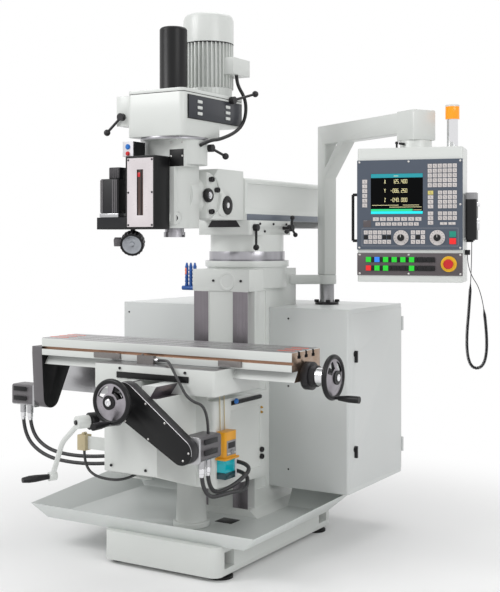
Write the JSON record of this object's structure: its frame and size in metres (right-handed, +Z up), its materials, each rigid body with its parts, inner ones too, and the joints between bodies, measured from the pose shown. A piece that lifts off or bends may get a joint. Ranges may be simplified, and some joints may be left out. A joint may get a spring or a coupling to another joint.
{
  "type": "cnc knee milling machine",
  "caption": "Vertical turret milling machine with a moving knee, servo-driven cross-slide and table, a nodding and tilting head on a ram, and a control pendant on a swinging arm.",
  "frame": {"origin": "on the floor below the middle of the base casting", "axes": "+X to the operator's right along the table, +Y to the back of the machine, +Z up"},
  "size_m": [2.2265, 1.9061, 2.518],
  "materials": {
    "machine_paint": "satin",
    "tray_paint": "satin",
    "way_steel": "ground",
    "screw_steel": "polished",
    "iron": "machined",
    "chrome": "polished",
    "black_paint": "satin",
    "servo_grey": "satin",
    "cover_black": "satin",
    "face_slate": "satin",
    "panel_brown": "satin",
    "screen_glass": "glossy",
    "key_plastic": "matte",
    "black_plastic": "matte",
    "red_plastic": "glossy",
    "amber": "glossy",
    "lube_yellow": "satin",
    "switch_beige": "satin",
    "cord_rubber": "matte",
    "conduit_grey": "matte",
    "nozzle_blue": "satin",
    "door_paint": "satin"
  },
  "bodies": {
    "base": {"base_casting": "machine_paint", "levelling_feet": "iron", "chip_tray": "tray_paint", "column": "machine_paint", "elevating_pedestal": "machine_paint", "electrical_cabinet": "machine_paint", "pendant_bracket": "machine_paint", "coolant_nozzles": "nozzle_blue"},
    "door": {"cabinet_door": "door_paint"},
    "arm": {"pendant_arm": "machine_paint"},
    "pendant": {"pendant_box": "machine_paint", "control_faceplate": "face_slate", "screen": "screen_glass", "control_keys": "key_plastic", "operator_panel": "panel_brown", "beacon": "amber", "pendant_handles": "chrome", "pulse_unit": "black_plastic", "pulse_unit_cord": "cord_rubber"},
    "feed_dial": {"feed_knob": "key_plastic"},
    "speed_dial": {"speed_knob": "key_plastic"},
    "stop_button": {"e_stop_button": "red_plastic"},
    "knee_body": {"knee": "machine_paint", "y_belt_cover": "cover_black", "y_servo": "servo_grey", "lube_unit": "lube_yellow", "knee_limit_switch": "switch_beige", "knee_conduits": "conduit_grey"},
    "lift_screw": {"elevating_screw": "screw_steel"},
    "crank": {"knee_crank": "chrome"},
    "crank_handle": {"crank_grip": "black_plastic"},
    "y_drive": {"y_ballscrew": "screw_steel", "y_handwheel": "black_plastic"},
    "saddle_body": {"saddle": "machine_paint", "saddle_guards": "black_paint", "table_limit_switch": "switch_beige", "switch_conduit": "conduit_grey"},
    "table_body": {"table": "way_steel", "x_belt_cover": "cover_black", "x_servo": "servo_grey", "x_bearing": "black_paint", "x_motor_conduits": "conduit_grey"},
    "x_drive": {"x_ballscrew": "screw_steel", "x_handwheel": "black_plastic"},
    "turret_body": {"turret": "machine_paint"},
    "pinion_lever": {"ram_pinion_lever": "chrome"},
    "ram_body": {"ram": "machine_paint"},
    "knuckle": {"ram_adapter": "machine_paint"},
    "head": {"head_casting": "machine_paint", "belt_housing": "machine_paint", "spindle_motor": "machine_paint", "drawbar_cover": "black_paint", "z_axis_box": "machine_paint", "motor_cable": "cord_rubber"},
    "left_lever": {"range_lever_left": "chrome"},
    "right_lever": {"range_lever_right": "chrome"},
    "brake": {"brake_lever": "chrome"},
    "lamp": {"work_lamp": "black_plastic"},
    "quill_body": {"quill": "way_steel"},
    "spindle_body": {"spindle": "way_steel"}
  },
  "joints": [
    {"name": "door_hinge", "type": "hinge", "parent": "base", "child": "door", "pos_m": [0.587, 0.7943, 0.704], "axis": [0, 0, -1], "range_deg": [-100, 0]},
    {"name": "pendant_arm_swing", "type": "hinge", "parent": "base", "child": "arm", "pos_m": [0.295, 0.512, 1.286], "axis": [0, 0, 1], "range_deg": [-20, 40]},
    {"name": "pendant_swivel", "type": "hinge", "parent": "arm", "child": "pendant", "pos_m": [0.93702, 0.12624, 1.905], "axis": [0, 0, 1], "range_deg": [-60, 60]},
    {"name": "feed_dial_turn", "type": "hinge", "parent": "pendant", "child": "feed_dial", "pos_m": [0.91864, 0.00107, 1.4731], "axis": [0.2419, -0.9703, 0], "range_deg": [-135, 135]},
    {"name": "speed_dial_turn", "type": "hinge", "parent": "pendant", "child": "speed_dial", "pos_m": [1.07195, 0.0393, 1.4731], "axis": [0.2419, -0.9703, 0], "range_deg": [-135, 135]},
    {"name": "stop_press", "type": "slide", "parent": "pendant", "child": "stop_button", "axis": [-0.2419, 0.9703, 0], "range_m": [0, 0.006], "stiffness_N_per_m": 800},
    {"name": "crank_turn", "type": "hinge", "parent": "knee_body", "child": "crank", "pos_m": [-0.139, -0.9, 0.703], "axis": [0.3907, 0.9205, 0], "range_deg": [-23100, 34620]},
    {"name": "knee_slide", "type": "slide", "parent": "base", "child": "knee_body", "axis": [0, 0, 1], "range_m": [-0.16, 0.24]},
    {"name": "lift_screw_turn", "type": "hinge", "parent": "knee_body", "child": "lift_screw", "pos_m": [0, -0.278, 0.6], "axis": [0, 0, 1], "range_deg": [-11580, 17340]},
    {"name": "crank_handle_turn", "type": "hinge", "parent": "crank", "child": "crank_handle", "pos_m": [-0.31215, -0.87539, 0.454], "axis": [0.3907, 0.9205, 0], "continuous": true},
    {"name": "y_wheel_turn", "type": "hinge", "parent": "knee_body", "child": "y_drive", "pos_m": [0, -0.866, 0.793], "axis": [0, 1, 0], "range_deg": [-10860, 11580]},
    {"name": "saddle_slide", "type": "slide", "parent": "knee_body", "child": "saddle_body", "axis": [0, 1, 0], "range_m": [-0.15, 0.16], "deforming": ["x_motor_conduits", "switch_conduit"]},
    {"name": "x_wheel_turn", "type": "hinge", "parent": "table_body", "child": "x_drive", "pos_m": [0.75, -0.329, 0.886], "axis": [1, 0, 0], "range_deg": [-20940, 30300]},
    {"name": "table_slide", "type": "slide", "parent": "saddle_body", "child": "table_body", "axis": [1, 0, 0], "range_m": [-0.29, 0.42], "deforming": ["x_motor_conduits"]},
    {"name": "turret_swivel", "type": "hinge", "parent": "base", "child": "turret_body", "pos_m": [0, 0.216, 1.362], "axis": [0, 0, 1], "range_deg": [-15, 45]},
    {"name": "ram_slide", "type": "slide", "parent": "turret_body", "child": "ram_body", "axis": [0, 1, 0], "range_m": [-0.25, 0.08]},
    {"name": "pinion_turn", "type": "hinge", "parent": "turret_body", "child": "pinion_lever", "pos_m": [0.15, 0.317, 1.5223], "axis": [1, 0, 0], "range_deg": [-720, 240]},
    {"name": "head_nod", "type": "hinge", "parent": "ram_body", "child": "knuckle", "pos_m": [0, -0.31, 1.665], "axis": [1, 0, 0], "range_deg": [-20, 20]},
    {"name": "head_tilt", "type": "hinge", "parent": "knuckle", "child": "head", "pos_m": [0, -0.345, 1.665], "axis": [0, 1, 0], "range_deg": [-45, 45]},
    {"name": "quill_feed", "type": "slide", "parent": "head", "child": "quill_body", "axis": [0, 0, -1], "range_m": [0, 0.127]},
    {"name": "spindle_turn", "type": "hinge", "parent": "quill_body", "child": "spindle_body", "pos_m": [0, -0.414, 1.5], "axis": [0, 0, 1], "continuous": true},
    {"name": "left_lever_turn", "type": "hinge", "parent": "head", "child": "left_lever", "pos_m": [-0.19, -0.556, 2.012], "axis": [0, 1, 0], "range_deg": [-25, 25]},
    {"name": "right_lever_turn", "type": "hinge", "parent": "head", "child": "right_lever", "pos_m": [0.168, -0.187, 2.104], "axis": [1, 0, 0], "range_deg": [-20, 20]},
    {"name": "brake_turn", "type": "hinge", "parent": "head", "child": "brake", "pos_m": [0.161, -0.36, 1.872], "axis": [1, 0, 0], "range_deg": [-25, 25]},
    {"name": "lamp_swivel", "type": "hinge", "parent": "head", "child": "lamp", "pos_m": [-0.131, -0.548, 1.5], "axis": [0, 0, 1], "range_deg": [-40, 40]}
  ],
  "couplings": [
    {"joint": "crank_turn", "follows": "knee_slide", "rad_per_m": 2513.3},
    {"joint": "lift_screw_turn", "follows": "knee_slide", "rad_per_m": 1256.6},
    {"joint": "y_wheel_turn", "follows": "saddle_slide", "rad_per_m": 1256.6},
    {"joint": "x_wheel_turn", "follows": "table_slide", "rad_per_m": 1256.6},
    {"joint": "pinion_turn", "follows": "ram_slide", "rad_per_m": 50}
  ]
}
